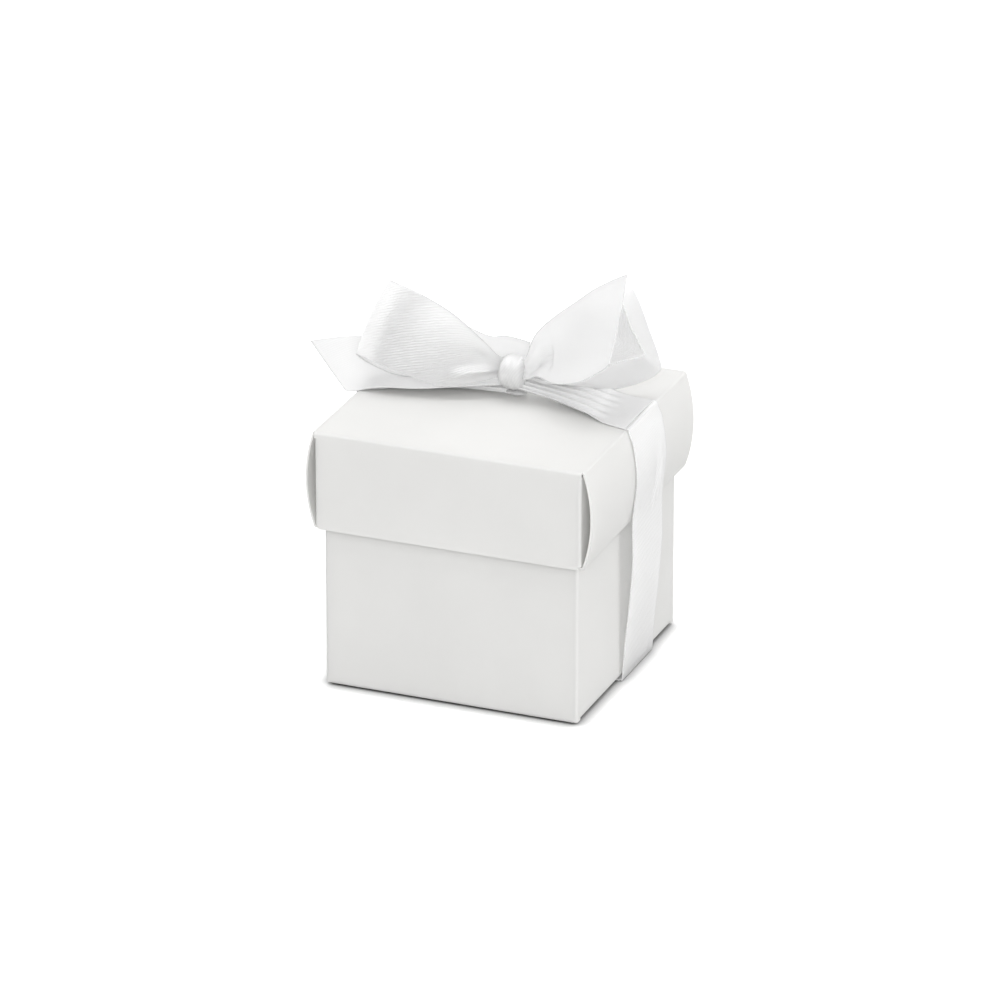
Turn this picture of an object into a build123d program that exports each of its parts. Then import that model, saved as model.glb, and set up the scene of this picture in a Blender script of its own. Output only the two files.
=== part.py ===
"""Favor box: a folded card lid over a folded card base, tied with one length of satin ribbon.

Millimetres, +Z up. The origin is on the table, under the middle of the base. X runs along the front wall,
and the front wall faces -Y.
"""

import os

from build123d import *

# Card
CARD = 0.35  # thickness
FOLD = 0.2  # inside radius of a folded crease
CARD_GAP = 0.05  # air between two layers that lie on each other
CORNER_RELIEF = 0.5  # how far a flap is cut back from the fold beside it

# Base: a glued tube with four bottom flaps
BASE_WIDTH = 48.6  # across the walls, both ways
BASE_HEIGHT = 48.9
GLUE_FLAP = 9.0
GLUE_FLAP_CUT = 2.0  # slant at the glue flap's free corners
LOCK_FLAP = 22.0  # front bottom flap, without its tongue
TONGUE_WIDTH = 24.0
TONGUE_RAMP = 4.0  # where the tongue climbs through the notch
TONGUE_TUCK = 5.0  # how much of it lies on the back flap
BACK_FLAP = 23.0
NOTCH_DEPTH = 6.5  # notch in the back flap, for the tongue
NOTCH_SPARE = 1.0  # room beside the tongue, each side
SIDE_FLAP = 10.5
SIDE_FLAP_CUT = 6.0  # slant at a side flap's free corners

# Lid: two plain walls with corner tabs, and two walls rolled over double
SKIRT = 18.6  # height of the lid's walls
LID_FIT = 0.35  # air between the base and the lid's inner panels, each side
POCKET = 0.25  # air beside a corner tab, at the creases
BULGE = 1.4  # how far a rolled wall bows out
TAB_LENGTH = 14.0
TAB_CUT = 3.0  # slant at a tab's free corners
TAB_SHORT = 0.6  # how much a tab is shorter than its wall, at each end
INNER_PANEL_SHORT = 1.6  # between the inner panel's free edge and the lid's top
RIM_GAP = 0.05  # between the base's rim and the lid's top panel

# Ribbon
RIBBON_WIDTH = 15.0
RIBBON = 0.25  # thickness
RIBBON_GAP = 0.05  # air between the ribbon and the card under it
STRAND_GAP = 0.2  # air between one stretch of the ribbon and the next
TABLE_STRAND_Y = 4.2  # middle of the ribbon under the base
LID_STRAND_Y = 2.8  # and where it crosses the lid's edges
LID_STRAND_SHARE = 0.96  # its width there, drawn in by the bow
STRAND_STANDOFF = 0.3  # from the bowed wall to the middle of the ribbon
STRAND_SWAY = 0.7  # how far the ribbon stands off the lid's lower edge
STRAP_FREE_SHARES = ((0.26, 0.2), (0.52, 0.5), (0.78, 0.71))  # shares of the height and way out, below the lid
STRAP_LID_SHARES = (0.4, 0.58, 0.84)  # shares of the lid's height where the ribbon follows the bowed wall
TOP_STRAP_SHARES = (  # from the lid's edge to the knot: shares of the way left, of the climb and of the width
    (1.0, 0.0, 1.0),
    (0.8, 0.05, 0.84),
    (0.58, 0.16, 0.6),
    (0.28, 0.55, 0.38),
    (0.0, 1.0, 0.28),
)
TOP_LEFT_SHARE = 0.2  # how far the ribbon climbs on each side of the knot, as a share of the knot's rise
TOP_RIGHT_SHARE = 0.4
STRAP_HOLLOW = 0.025  # how far a side strap is hollowed across
STRAP_SECTION_COUNT = 2  # from one station of a strap to the next
BOW_SECTION_COUNT = 4  # from one station of the bow to the next

# Knot and bow
KNOT_X = 1.6
KNOT_Y = 2.5
KNOT_RISE = 5.3  # middle of the knot above the lid
KNOT_LENGTH = 5.0
KNOT_RADIUS = 3.5
KNOT_END_RADIUS = 2.9
HALF_KNOT_LENGTH = 4.4
HALF_KNOT_DEPTH = 3.6
HALF_KNOT_BACK = 0.8  # how far it lies behind the knot's middle
GATHER_SHARE = 0.26  # of the ribbon's width where the knot grips it

FOLD_OUT = FOLD + CARD
LAYER = CARD + CARD_GAP
BASE_HALF = BASE_WIDTH / 2
FLOOR = RIBBON + RIBBON_GAP
RIM = FLOOR + BASE_HEIGHT
TOP = RIM + RIM_GAP + CARD
SKIRT_LOW = TOP - SKIRT
INNER_FACE = BASE_HALF + LID_FIT
TAB_FACE = INNER_FACE + CARD + CARD_GAP + CARD
LID_HALF = TAB_FACE + POCKET + CARD
LID_FLAT = LID_HALF - FOLD_OUT
FRONT_HALF = TAB_FACE - FOLD_OUT
FLAP_HALF = BASE_HALF - FOLD_OUT - CORNER_RELIEF
KNOT_Z = TOP + KNOT_RISE


def block(low, high):
    size = [b - a for a, b in zip(low, high)]
    middle = [(a + b) / 2 for a, b in zip(low, high)]
    return Pos(*middle) * Box(*size)


def folded_panel(start, out, along, leg, width):
    """A panel that leaves its neighbour's outer face at start, runs out and folds a right angle to along."""
    across = Vector(*out).cross(Vector(*along))
    outline = [
        CenterArc((0, FOLD_OUT), FOLD_OUT, -90, 90),
        Line((FOLD_OUT, FOLD_OUT), (FOLD_OUT, leg)),
        Line((FOLD_OUT, leg), (FOLD, leg)),
        Line((FOLD, leg), (FOLD, FOLD_OUT)),
        CenterArc((0, FOLD_OUT), FOLD, -90, 90),
        Line((0, CARD), (0, 0)),
    ]
    plane = Plane(origin=start, x_dir=out, z_dir=across)
    return extrude(plane * make_face(outline), amount=width / 2, both=True)


def slant_free_corners(panel, along, thick, cut):
    """Cut the two corners at a panel's free edge on the slant."""
    end = panel.faces().sort_by(Axis((0, 0, 0), along))[-1]
    return chamfer(end.edges().filter_by(Axis((0, 0, 0), thick)), cut)


def base_walls():
    """The tube. Each wall's corners reach down beside the flap that folds from it."""
    front_low = FLOOR + FOLD_OUT
    side_low = front_low + LAYER
    back_low = side_low + LAYER
    corner_low = FLOOR + FOLD_OUT / 2
    flat = BASE_HALF - FOLD_OUT
    seam = flat - LAYER
    wall_mid, wall_tall = (corner_low + RIM) / 2, RIM - corner_low
    glue_mid, glue_tall = (back_low + RIM) / 2, RIM - back_low
    wide = FLAP_HALF + CARD_GAP
    narrow = wide - CORNER_RELIEF
    front = block((-flat, -BASE_HALF, corner_low), (flat, -BASE_HALF + CARD, RIM))
    right = folded_panel((flat, -BASE_HALF, wall_mid), (1, 0, 0), (0, 1, 0), BASE_WIDTH - FOLD_OUT, wall_tall)
    left = folded_panel((-flat, -BASE_HALF, wall_mid), (-1, 0, 0), (0, 1, 0), BASE_WIDTH, wall_tall)
    back = folded_panel((BASE_HALF, flat, wall_mid), (0, 1, 0), (-1, 0, 0), BASE_HALF + seam, wall_tall)
    glue = folded_panel(
        (-seam, BASE_HALF, glue_mid), (-1, 0, 0), (0, -1, 0), FOLD_OUT + GLUE_FLAP, glue_tall
    )
    side_room = block((-BASE_HALF, -narrow, corner_low), (BASE_HALF, narrow, side_low))
    return {
        "base_front_wall": front - block((-wide, -BASE_HALF, corner_low), (wide, 0, front_low)),
        "base_right_wall": right - side_room,
        "base_left_wall": left - side_room,
        "base_back_wall": back - block((-BASE_HALF, 0, corner_low), (wide, BASE_HALF, back_low)),
        "base_glue_flap": slant_free_corners(glue, (0, -1, 0), (1, 0, 0), GLUE_FLAP_CUT),
    }


def base_bottom():
    """The bottom flaps in the order they close: back flap, side flaps, then the lock flap and its tongue."""
    down = (0, 0, -1)
    lock_end = LOCK_FLAP - BASE_HALF
    back_end = BASE_HALF - BACK_FLAP
    tuck_z = FLOOR + 3 * LAYER
    ramp_end = back_end + TONGUE_RAMP + CORNER_RELIEF
    low_line = [
        (lock_end - CARD, FLOOR),
        (ramp_end - TONGUE_RAMP, FLOOR),
        (ramp_end, tuck_z),
        (back_end + NOTCH_DEPTH + TONGUE_TUCK, tuck_z),
    ]
    high_line = [(y, z + CARD) for y, z in reversed(low_line)]
    tongue = extrude(
        Plane.YZ * make_face(Polyline(*low_line, *high_line, close=True)), amount=TONGUE_WIDTH / 2, both=True
    )
    lock = folded_panel((0, -BASE_HALF, FLOOR + FOLD_OUT), down, (0, 1, 0), LOCK_FLAP, 2 * FLAP_HALF)
    back = folded_panel(
        (0, BASE_HALF, FLOOR + 2 * LAYER + FOLD_OUT), down, (0, -1, 0), BACK_FLAP, 2 * FLAP_HALF
    )
    notch_half = TONGUE_WIDTH / 2 + NOTCH_SPARE
    notch = block((-notch_half, back_end, FLOOR), (notch_half, back_end + NOTCH_DEPTH, tuck_z))
    flaps = {"base_lock_flap": lock + tongue, "base_back_flap": back - notch}
    for name, side in (("left", -1), ("right", 1)):
        start = (side * BASE_HALF, 0, FLOOR + LAYER + FOLD_OUT)
        flap = folded_panel(start, down, (-side, 0, 0), SIDE_FLAP, 2 * FLAP_HALF - 2 * CORNER_RELIEF)
        flaps[f"base_{name}_flap"] = slant_free_corners(flap, (-side, 0, 0), (0, 0, 1), SIDE_FLAP_CUT)
    return flaps


def rolled_wall(side):
    """A lid wall that bows out and turns in at its lower edge, ready for the inner panel."""
    roll = (LID_HALF - INNER_FACE) / 2
    roll_x = LID_HALF - roll
    roll_z = SKIRT_LOW + roll
    bow_top = TOP - FOLD_OUT
    bow_mid = (bow_top + roll_z) / 2
    inside = LID_HALF - CARD
    outline = [
        CenterArc((LID_FLAT, bow_top), FOLD_OUT, 0, 90),
        ThreePointArc((LID_HALF, bow_top), (LID_HALF + BULGE, bow_mid), (LID_HALF, roll_z)),
        CenterArc((roll_x, roll_z), roll, 180, 180),
        Line((INNER_FACE, roll_z), (INNER_FACE + CARD, roll_z)),
        CenterArc((roll_x, roll_z), roll - CARD, 180, 180),
        ThreePointArc((inside, roll_z), (inside + BULGE, bow_mid), (inside, bow_top)),
        CenterArc((LID_FLAT, bow_top), FOLD, 0, 90),
        Line((LID_FLAT, TOP - CARD), (LID_FLAT, TOP)),
    ]
    wall = extrude(Plane.XZ * make_face(outline), amount=LID_FLAT, both=True)
    return wall if side > 0 else mirror(wall, Plane.YZ)


def lid_card():
    """The lid's top, its plain front and back walls, its rolled side walls and the tabs inside them."""
    roll_z = SKIRT_LOW + (LID_HALF - INNER_FACE) / 2
    panel_half = LID_HALF - CARD - CORNER_RELIEF
    tab_mid = (TOP - FOLD_OUT + SKIRT_LOW) / 2
    tab_tall = TOP - FOLD_OUT - SKIRT_LOW - 2 * TAB_SHORT
    ear_tall = FOLD_OUT + TAB_SHORT - CARD_GAP
    lid = {"lid_top_panel": block((-LID_FLAT, -LID_FLAT, TOP - CARD), (LID_FLAT, LID_FLAT, TOP))}
    for end, facing in (("front", -1), ("back", 1)):
        crease = (0, facing * LID_FLAT, TOP)
        wall = folded_panel(crease, (0, facing, 0), (0, 0, -1), SKIRT, 2 * FRONT_HALF)
        ears = folded_panel(crease, (0, facing, 0), (0, 0, -1), ear_tall, 2 * LID_FLAT)
        lid[f"lid_{end}_wall"] = wall + ears
        for name, side in (("left", -1), ("right", 1)):
            start = (side * FRONT_HALF, facing * LID_HALF, tab_mid)
            along = (0, -facing, 0)
            tab = folded_panel(start, (side, 0, 0), along, TAB_LENGTH, tab_tall)
            lid[f"lid_{end}_{name}_tab"] = slant_free_corners(tab, along, (1, 0, 0), TAB_CUT)
    for name, side in (("left", -1), ("right", 1)):
        lid[f"lid_{name}_wall"] = rolled_wall(side)
        faces = sorted((side * INNER_FACE, side * (INNER_FACE + CARD)))
        lid[f"lid_{name}_inner_panel"] = block(
            (faces[0], -panel_half, roll_z), (faces[1], panel_half, TOP - CARD - INNER_PANEL_SHORT)
        )
    return lid


def eased(stations, steps):
    """Stations on a smooth curve through the given ones, with steps of them from each to the next."""
    curve = []
    ends = [stations[0], *stations, stations[-1]]
    for around in zip(ends, ends[1:], ends[2:], ends[3:]):
        for i in range(steps):
            t = i / steps
            p = t * (t * (2 - t) - 1) / 2
            q = t * t * (3 * t - 5) / 2 + 1
            r = t * (t * (4 - 3 * t) + 1) / 2
            s = t * t * (t - 1) / 2
            curve.append([a * p + b * q + c * r + d * s for a, b, c, d in zip(*around)])
    return [*curve, stations[-1]]


def ribbon_strip(stations, steps):
    """One stretch of ribbon, lofted through thin sections. A station is the middle of the ribbon, the way
    its width lies, its width and how far it is hollowed across."""
    wires = []
    stations = eased(stations, steps)
    for i, (middle, lay, width, hollow) in enumerate(stations):
        before = stations[max(i - 1, 0)][0]
        after = stations[min(i + 1, len(stations) - 1)][0]
        lay = lay.normalized()
        face = (after - before).cross(lay).normalized()
        half = lay * (width / 2)
        low, high = face * (-RIBBON / 2), face * (RIBBON / 2)
        bowed = middle + face * hollow
        wires.append(
            Wire(
                [
                    ThreePointArc(middle - half + low, bowed + low, middle + half + low),
                    Line(middle + half + low, middle + half + high),
                    ThreePointArc(middle + half + high, bowed + high, middle - half + high),
                    Line(middle - half + high, middle - half + low),
                ]
            )
        )
    return Solid.make_loft(wires, ruled=True)


def bow_strip(side, stations):
    """A stretch of the bow. Its stations are measured from the knot's end face: out, back and up."""
    placed = []
    for (out, back, up), lay, share, hollow in stations:
        middle = Vector(KNOT_X + side * (KNOT_LENGTH / 2 + out), KNOT_Y + back, KNOT_Z + up)
        placed.append((middle, Vector(side * lay[0], lay[1], lay[2]), share * RIBBON_WIDTH, hollow))
    return ribbon_strip(placed, BOW_SECTION_COUNT)


def bow():
    """Loops and tails, from the knot outwards. Stations: place, lay of the width, share of it, hollow."""
    at_knot = 1.5 * STRAND_GAP
    return {
        "ribbon_left_loop": bow_strip(
            -1,
            [
                ((at_knot, -1.2, 0.8), (0.1, 0.2, 1.0), GATHER_SHARE, 0.2),
                ((2.9, -2.8, 2.0), (0.0, 0.2, 1.0), 0.5, 0.4),
                ((8.5, -4.6, 3.8), (-0.1, 0.3, 0.9), 0.85, 0.5),
                ((14.7, -6.0, 6.5), (-0.2, 0.3, 0.9), 0.96, 0.2),
                ((20.0, -5.8, 7.9), (-0.2, 0.4, 0.9), 0.97, -0.2),
                ((23.4, -3.6, 7.7), (-0.3, 0.4, 0.9), 0.97, -0.6),
                ((22.0, -1.2, 5.4), (-0.3, 0.3, 0.9), 1.0, -0.2),
                ((16.8, -0.8, 3.8), (-0.2, 0.3, 0.9), 0.98, 0.2),
                ((10.0, -0.2, 2.6), (-0.1, 0.3, 0.9), 0.68, 0.3),
                ((3.5, 1.4, 1.9), (0.0, 0.2, 1.0), 0.42, 0.3),
                ((at_knot, 2.0, 2.2), (0.0, 0.1, 1.0), 0.36, 0.2),
            ],
        ),
        "ribbon_right_loop": bow_strip(
            1,
            [
                ((at_knot, 0.8, -1.4), (0.0, 1.0, -0.3), GATHER_SHARE, 0.2),
                ((6.3, -1.2, -1.0), (-0.2, 0.8, -0.5), 0.55, 0.3),
                ((12.9, -0.6, 0.2), (-0.2, 0.8, -0.6), 0.9, 0.3),
                ((18.8, 0.8, 2.4), (-0.1, 0.8, -0.6), 1.0, 0.2),
                ((22.3, 3.4, 3.7), (-0.1, 0.8, -0.5), 1.0, 0.2),
                ((21.7, 4.0, 5.9), (-0.1, 0.9, -0.5), 1.0, 0.2),
                ((19.7, 4.5, 9.7), (-0.1, 0.9, -0.4), 0.96, 0.2),
                ((17.8, 4.8, 14.0), (-0.1, 0.9, -0.35), 0.92, 0.2),
                ((15.2, 5.8, 15.3), (0.0, 0.95, -0.25), 0.9, 0.2),
                ((13.9, 6.8, 11.6), (0.4, 0.8, -0.46), 0.88, 0.2),
                ((15.0, 7.0, 4.8), (0.6, 0.55, -0.57), 0.85, 0.2),
                ((9.6, 5.5, 1.2), (0.5, 0.55, -0.6), 0.66, 0.3),
                ((4.0, 3.4, 1.8), (0.1, 0.8, 0.3), 0.4, 0.3),
                ((at_knot, 2.2, 2.0), (0.0, 0.5, 0.8), 0.36, 0.2),
            ],
        ),
        "ribbon_left_tail": bow_strip(
            -1,
            [
                ((at_knot, 0.2, -2.3), (0.0, 1.0, 0.1), GATHER_SHARE, 0.2),
                ((7.3, 0.5, -2.1), (0.2, 1.0, 0.2), 0.6, 0.3),
                ((14.0, 0.5, -2.3), (0.1, 1.0, 0.2), 0.9, 0.3),
                ((21.1, -0.1, -2.5), (0.1, 1.0, 0.2), 1.0, 0.3),
                ((25.8, -0.5, -2.7), (0.2, 0.9, 0.3), 1.0, 0.3),
                ((33.1, -2.0, -3.7), (0.7, 0.7, 0.2), 1.12, 0.2),
            ],
        ),
        "ribbon_right_tail": bow_strip(
            1,
            [
                ((2 * at_knot, -1.4, 1.4), (-0.3, 0.4, 0.8), GATHER_SHARE, -0.2),
                ((2.8, -2.6, 4.6), (-0.2, 0.4, 0.9), 0.5, -1.0),
                ((6.9, -4.4, 6.9), (-0.2, 0.5, 0.9), 0.8, -1.8),
                ((12.0, -5.8, 9.9), (-0.2, 0.5, 0.9), 0.98, -1.4),
                ((15.8, -6.0, 12.7), (-0.2, 0.4, 0.9), 0.99, -0.9),
                ((19.5, -5.9, 15.2), (0.05, 0.4, 0.9), 1.08, -0.4),
            ],
        ),
    }


def knot():
    """The bow's knot, a short barrel along X, and the half knot under it that the straps pull into."""
    half = KNOT_LENGTH / 2
    barrel = [
        Line((-half, 0), (-half, KNOT_END_RADIUS)),
        ThreePointArc((-half, KNOT_END_RADIUS), (0, KNOT_RADIUS), (half, KNOT_END_RADIUS)),
        Line((half, KNOT_END_RADIUS), (half, 0)),
        Line((half, 0), (-half, 0)),
    ]
    turned = revolve(make_face(barrel), Axis.X)
    half_knot_low = TOP + STRAND_GAP
    half_knot_high = KNOT_Z - KNOT_RADIUS - STRAND_GAP
    tall = half_knot_high - half_knot_low
    lump = Box(HALF_KNOT_LENGTH, HALF_KNOT_DEPTH, tall)
    lump = fillet(lump.edges().filter_by(Axis.X), tall / 3)
    return {
        "ribbon_knot": Pos(KNOT_X, KNOT_Y, KNOT_Z) * turned,
        "ribbon_half_knot": Pos(KNOT_X, KNOT_Y + HALF_KNOT_BACK, (half_knot_low + half_knot_high) / 2) * lump,
    }


def strap(side):
    """The ribbon up one side of the box, from the table round the base's edge and over the lid's edge."""
    lie = RIBBON_GAP + RIBBON / 2
    wall = BASE_HALF + lie + CARD
    bowed = LID_HALF + BULGE + STRAND_STANDOFF
    free = SKIRT_LOW - FLOOR
    roll = (LID_HALF - INNER_FACE) / 2
    turn = FOLD_OUT / 2**0.5 + lie
    path = [
        (BASE_HALF - RIBBON + STRAND_GAP, RIBBON / 2 + STRAP_HOLLOW),
        (wall - CARD / 2, CARD),
        (wall, CARD + FOLD_OUT),
        *[(wall + out * (bowed - wall), up * free) for up, out in STRAP_FREE_SHARES],
        (LID_HALF + STRAND_SWAY + lie, SKIRT_LOW + roll),
        *[(bowed - (2 * up - 1) ** 2 * BULGE, SKIRT_LOW + up * SKIRT) for up in STRAP_LID_SHARES],
        (LID_HALF + lie, TOP - FOLD_OUT),
        (LID_FLAT + turn, TOP - FOLD_OUT + turn),
        (LID_FLAT, TOP + lie),
    ]
    stations = []
    for x, z in path:
        up = z / path[-1][1]
        y = TABLE_STRAND_Y + up * (LID_STRAND_Y - TABLE_STRAND_Y)
        width = RIBBON_WIDTH * (1 + up * (LID_STRAND_SHARE - 1))
        stations.append((Vector(side * x, y, z), Vector(0, 1, 0), width, -side * STRAP_HOLLOW))
    return ribbon_strip(stations, STRAP_SECTION_COUNT)


def top_strap(side, rise):
    """The ribbon from the lid's edge to the knot, drawn together as it climbs by rise."""
    lie = RIBBON_GAP + RIBBON / 2
    outer = LID_FLAT - STRAND_GAP
    inner = side * KNOT_X + KNOT_LENGTH / 2 + STRAND_GAP
    stations = []
    for reach, climb, share in TOP_STRAP_SHARES:
        x = inner + reach * (outer - inner)
        y = KNOT_Y + reach * (LID_STRAND_Y - KNOT_Y)
        z = TOP + lie + climb * rise
        width = share * LID_STRAND_SHARE * RIBBON_WIDTH
        stations.append((Vector(side * x, y, z), Vector(0, 1, 0), width, -side * RIBBON))
    return ribbon_strip(stations, STRAP_SECTION_COUNT)


def wrap():
    """The ribbon round the box, from the knot over the lid, down the sides and under the base."""
    half = RIBBON_WIDTH / 2
    end = BASE_HALF - RIBBON
    return {
        "ribbon_under_strap": block((-end, TABLE_STRAND_Y - half, 0), (end, TABLE_STRAND_Y + half, RIBBON)),
        "ribbon_left_strap": strap(-1),
        "ribbon_right_strap": strap(1),
        "ribbon_top_left_strap": top_strap(-1, TOP_LEFT_SHARE * KNOT_RISE),
        "ribbon_top_right_strap": top_strap(1, TOP_RIGHT_SHARE * KNOT_RISE),
    }


def main():
    os.makedirs("parts", exist_ok=True)
    for group in (base_walls(), base_bottom(), lid_card(), knot(), bow(), wrap()):
        for name, solid in group.items():
            export_step(solid, f"parts/{name}.step")


main()
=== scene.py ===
"""Favor box of folded white card, tied with a satin ribbon: finishes, ribbon sheets and a white studio.

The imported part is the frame. Card panels keep their solids and get a card finish; every stretch of the ribbon is
rebuilt as a fine sheet in the place of its solid. Tables are in millimetres and meshes in metres.
"""

import math

import bpy
import numpy as np
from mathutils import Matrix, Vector


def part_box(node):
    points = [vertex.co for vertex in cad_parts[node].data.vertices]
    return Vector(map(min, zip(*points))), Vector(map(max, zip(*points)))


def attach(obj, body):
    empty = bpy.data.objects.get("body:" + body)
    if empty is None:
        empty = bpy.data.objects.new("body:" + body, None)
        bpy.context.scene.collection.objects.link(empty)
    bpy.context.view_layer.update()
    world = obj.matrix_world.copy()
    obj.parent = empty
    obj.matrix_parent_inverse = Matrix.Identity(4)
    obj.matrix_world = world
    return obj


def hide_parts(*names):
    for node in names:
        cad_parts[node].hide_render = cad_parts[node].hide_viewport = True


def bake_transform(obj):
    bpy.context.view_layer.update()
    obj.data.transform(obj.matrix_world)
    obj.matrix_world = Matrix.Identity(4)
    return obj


bl_info = {
    "name": "Favor Box with Ribbon Bow",
    "version": (1, 0, 0),
    "blender": (4, 5, 0),
    "location": "View3D > Sidebar > Favor Box",
    "description": "Finishes a folded card favor box and ties it with a satin ribbon",
    "category": "Add Mesh",
}

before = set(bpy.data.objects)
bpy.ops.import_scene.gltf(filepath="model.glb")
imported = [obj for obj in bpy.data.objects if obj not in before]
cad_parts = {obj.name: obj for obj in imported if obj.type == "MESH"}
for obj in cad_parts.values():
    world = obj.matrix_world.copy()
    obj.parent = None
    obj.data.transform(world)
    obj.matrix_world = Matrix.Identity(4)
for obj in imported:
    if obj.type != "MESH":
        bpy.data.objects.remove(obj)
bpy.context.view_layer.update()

MM = 0.001
WHITE = (1, 1, 1, 1)
KNOT_LOW, KNOT_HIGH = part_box("ribbon_knot")
KNOT_MIDDLE = np.array((KNOT_LOW + KNOT_HIGH) / 2) / MM
KNOT_HALF = (KNOT_HIGH.x - KNOT_LOW.x) / 2 / MM
LID_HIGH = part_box("lid_top_panel")[1]
LID_TOP = LID_HIGH.z / MM
BASE_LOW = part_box("base_left_wall")[0]


class CardLook(bpy.types.PropertyGroup):
    """The card's finish"""

    sheer: bpy.props.FloatProperty(
        name="Sheer", description="Share of the light that the card lets through", subtype="FACTOR", default=0.28
    )
    colour: bpy.props.FloatVectorProperty(
        name="Card colour",
        description="Colour of the coated card",
        subtype="COLOR",
        size=3,
        min=0,
        max=1,
        default=(0.915, 0.913, 0.9),
    )
    grain: bpy.props.FloatProperty(
        name="Grain", description="Size of the card's fibre grain", unit="LENGTH", default=0.00035
    )
    crease: bpy.props.FloatProperty(
        name="Crease", description="Width of the burnished band along a crease", unit="LENGTH", default=0.0011
    )


class RibbonLook(bpy.types.PropertyGroup):
    """The ribbon's size and finish"""

    width: bpy.props.FloatProperty(
        name="Width", description="Width of the ribbon laid flat", unit="LENGTH", default=0.015
    )
    thickness: bpy.props.FloatProperty(
        name="Thickness", description="Thickness of the ribbon", unit="LENGTH", default=0.0002
    )
    satin: bpy.props.FloatVectorProperty(
        name="Satin colour",
        description="Colour of the ribbon's shiny face",
        subtype="COLOR",
        size=3,
        min=0,
        max=1,
        default=(0.905, 0.905, 0.905),
    )
    back: bpy.props.FloatVectorProperty(
        name="Back colour",
        description="Colour of the ribbon's dull face",
        subtype="COLOR",
        size=3,
        min=0,
        max=1,
        default=(0.96, 0.96, 0.96),
    )
    sheer: bpy.props.FloatProperty(
        name="Sheer", description="Share of the light that the shiny face lets through", subtype="FACTOR", default=0.5
    )
    back_sheer: bpy.props.FloatProperty(
        name="Back sheer",
        description="Share of the light that the dull face lets through",
        subtype="FACTOR",
        default=0.6,
    )
    twill: bpy.props.FloatProperty(
        name="Twill", description="Pitch of the slanted lines of the weave", unit="LENGTH", default=0.00048
    )
    selvage: bpy.props.FloatProperty(
        name="Selvage", description="Radius of the woven edge", unit="LENGTH", default=0.0001
    )


class KnotShape(bpy.types.PropertyGroup):
    """The knot's folds"""

    folds: bpy.props.FloatProperty(name="Folds", description="Folds side by side along the knot", default=1.6)
    depth: bpy.props.FloatProperty(name="Depth", description="Depth of a fold", unit="LENGTH", default=0.00007)


class StudioLook(bpy.types.PropertyGroup):
    """The studio's lights"""

    fill: bpy.props.FloatProperty(name="Fill", description="Even light from all round", default=0.5)
    key: bpy.props.FloatProperty(name="Key", description="Power of the key light", unit="POWER", default=2.0)
    front: bpy.props.FloatProperty(name="Front", description="Power of the front light", unit="POWER", default=5.6)
    right: bpy.props.FloatProperty(name="Right", description="Power of the right light", unit="POWER", default=4.4)
    left: bpy.props.FloatProperty(name="Left", description="Power of the left light", unit="POWER", default=1.0)
    top: bpy.props.FloatProperty(name="Top", description="Power of the light above", unit="POWER", default=4.3)
    back: bpy.props.FloatProperty(name="Back", description="Power of the light behind", unit="POWER", default=2.5)


MIX_LOW, MIX_HIGH, MIX_RESULT = 6, 7, 2  # sockets of a Mix node that carry colours, whose names aren't unique


class Socket:
    """A node's output in a tree. Arithmetic on it adds Math nodes, and add() makes any other node."""

    def __init__(self, tree, output=None):
        self.tree = tree
        self.output = output

    def add(self, kind, settings=None, inputs=None, out=0):
        """A node of that kind in the same tree: its settings, then the values or links of its sockets."""
        node = self.tree.nodes.new(kind)
        for name, value in (settings or {}).items():
            setattr(node, name, value)
        for name, value in (inputs or {}).items():
            target = node.inputs[name]
            if isinstance(value, Socket):
                self.tree.links.new(value.output, target)
            else:
                target.default_value = value
        return Socket(self.tree, node.outputs[out]) if len(node.outputs) else node

    def sibling(self, name):
        """Another output of the same node."""
        return Socket(self.tree, self.output.node.outputs[name])

    def math(self, operation, *values):
        """A Math node on these values."""
        return self.add("ShaderNodeMath", {"operation": operation}, dict(enumerate(values)))

    def __add__(self, other):
        return self.math("ADD", self, other)

    def __sub__(self, other):
        return self.math("SUBTRACT", self, other)

    def __mul__(self, other):
        return self.math("MULTIPLY", self, other)

    def __radd__(self, other):
        return self.math("ADD", other, self)

    def __rsub__(self, other):
        return self.math("SUBTRACT", other, self)

    def __rmul__(self, other):
        return self.math("MULTIPLY", other, self)

    def sine(self):
        return self.math("SINE", self)

    def absolute(self):
        return self.math("ABSOLUTE", self)

    def power(self, exponent):
        return self.math("POWER", self, exponent)

    def ramp(self, low, high):
        """0 at low, 1 at high, and smooth between."""
        return self.add(
            "ShaderNodeMapRange",
            {"interpolation_type": "SMOOTHSTEP"},
            {"Value": self, "From Min": low, "From Max": high},
        )

    def colour(self, *ends):
        """The colour this far from the first of two to the second."""
        low, high = (end if isinstance(end, Socket) else (*end, 1) for end in ends)
        return self.add(
            "ShaderNodeMix", {"data_type": "RGBA"}, {"Factor": self, MIX_LOW: low, MIX_HIGH: high}, MIX_RESULT
        )

    def noise(self, scale, detail=2.0, rough=0.5):
        """Noise over this place."""
        return self.add(
            "ShaderNodeTexNoise", None, {"Vector": self, "Scale": scale, "Detail": detail, "Roughness": rough}
        )

    def bump(self, strength, distance):
        """The normal of a surface that stands this high, for a Normal socket."""
        return self.add("ShaderNodeBump", None, {"Strength": strength, "Distance": distance, "Height": self})


def toned(colour, tone):
    """A colour that many times as bright, and no brighter than white."""
    return tuple(min(1.0, tone * c) for c in colour)


def new_finish(name):
    """An empty material, with the socket that starts its tree."""
    material = bpy.data.materials.new(name)
    material.use_nodes = True
    material.node_tree.nodes.clear()
    return material, Socket(material.node_tree)


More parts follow.
